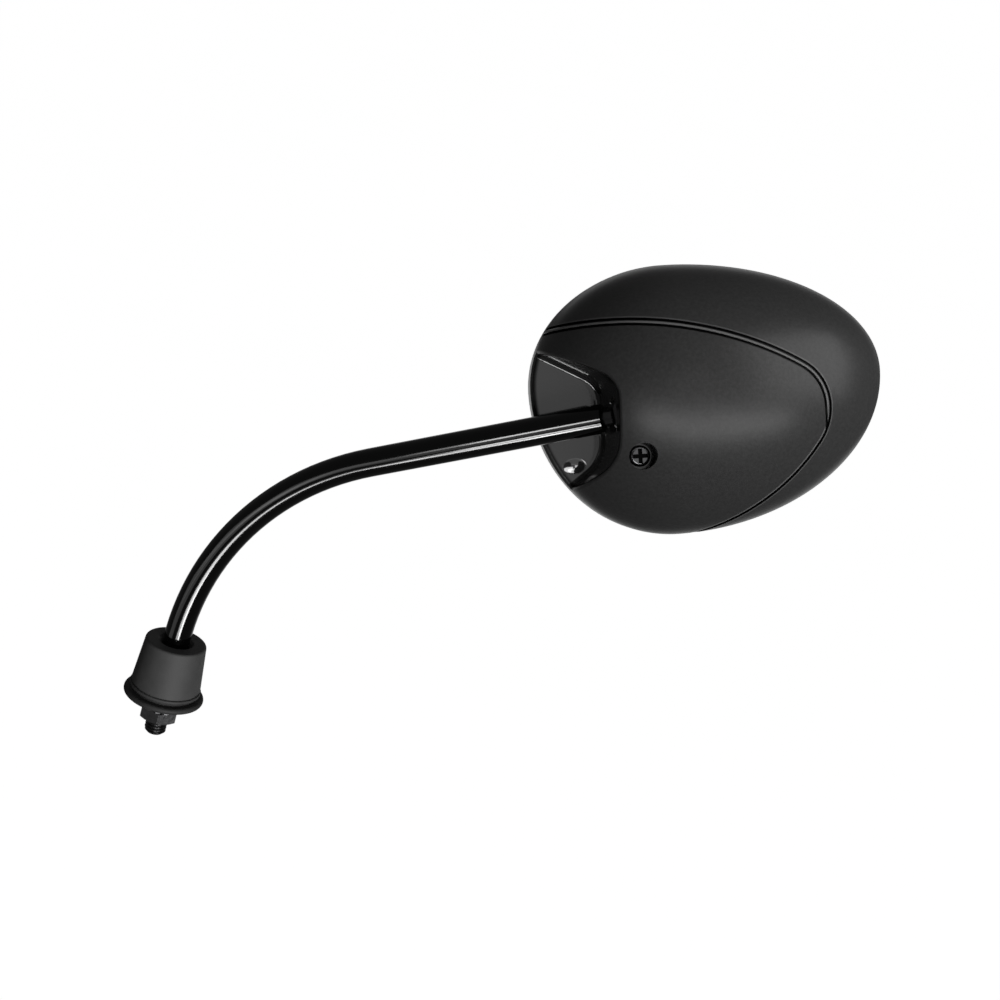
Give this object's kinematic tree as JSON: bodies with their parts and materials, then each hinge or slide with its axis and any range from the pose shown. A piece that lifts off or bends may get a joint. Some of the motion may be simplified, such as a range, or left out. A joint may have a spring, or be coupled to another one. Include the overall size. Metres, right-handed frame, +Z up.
{
  "type": "motorcycle mirror",
  "caption": "Left-hand rear-view mirror: egg-shaped shell with convex glass on a ball joint, bent tube stem, rubber boot and threaded stud with lock nut.",
  "frame": {"origin": "on the stud's axis in the plane of the lock nut's lower face, where the stud's free end begins", "axes": "+Z up along the stud, +X the way the stem bends, outboard, +Y towards the rider, the side the glass faces"},
  "size_m": [0.2252, 0.0761, 0.2262],
  "materials": {
    "stem_paint": "gloss black stove enamel",
    "ball_steel": "dark oiled steel, polished ball",
    "stud_steel": "blackened steel",
    "boot_rubber": "matte rubber",
    "washer_steel": "plain steel",
    "nut_steel": "blackened steel",
    "shell_plastic": "fine matte grain, gloss in the stem pocket",
    "frame_plastic": "gloss black",
    "glass": "silvered convex glass",
    "foam": "closed-cell foam",
    "seat_plastic": "natural acetal",
    "clamp_metal": "die-cast",
    "screw_steel": "zinc plated",
    "spring_steel": "spring steel",
    "cover_screw_steel": "zinc plated, dark"
  },
  "bodies": {
    "stem": {"stem_tube": "stem_paint", "ball_stud": "ball_steel", "threaded_stud": "stud_steel"},
    "boot": {"rubber_boot": "boot_rubber"},
    "washer": {"lock_washer": "washer_steel"},
    "nut": {"lock_nut": "nut_steel"},
    "seat_rear": {"ball_seat_rear": "seat_plastic"},
    "seat_front": {"ball_seat_front": "seat_plastic"},
    "head": {"rear_shell": "shell_plastic", "front_frame": "frame_plastic", "mirror_glass": "glass", "glass_pad": "foam", "ball_clamp": "clamp_metal", "clamp_screws": "screw_steel", "clamp_washers": "spring_steel", "shell_screw": "cover_screw_steel"}
  },
  "joints": [
    {"name": "head_yaw", "type": "hinge", "parent": "stem", "child": "seat_rear", "pos_m": [0.1328, 0, 0.16852], "axis": [-0.3828, 0.2224, 0.8967], "range_deg": [-15, 6]},
    {"name": "head_tilt", "type": "hinge", "parent": "seat_rear", "child": "seat_front", "pos_m": [0.1328, 0, 0.16852], "axis": [0.9007, 0.3055, 0.3087], "range_deg": [-15, 15]},
    {"name": "head_roll", "type": "hinge", "parent": "seat_front", "child": "head", "pos_m": [0.1328, 0, 0.16852], "axis": [0.2053, -0.9258, 0.3173], "range_deg": [-12, 12]},
    {"name": "boot_slide", "type": "slide", "parent": "stem", "child": "boot", "axis": [0, 0, 1], "range_m": [-0.007, 0.004]},
    {"name": "washer_slide", "type": "slide", "parent": "stem", "child": "washer", "axis": [0, 0, 1], "range_m": [0, 0.0094]},
    {"name": "nut_spin", "type": "hinge", "parent": "washer", "child": "nut", "pos_m": [0, 0, 0], "axis": [0, 0, 1], "range_deg": [0, 2700]}
  ],
  "couplings": [
    {"joint": "washer_slide", "follows": "nut_spin", "m_per_rad": 0.00019894}
  ]
}
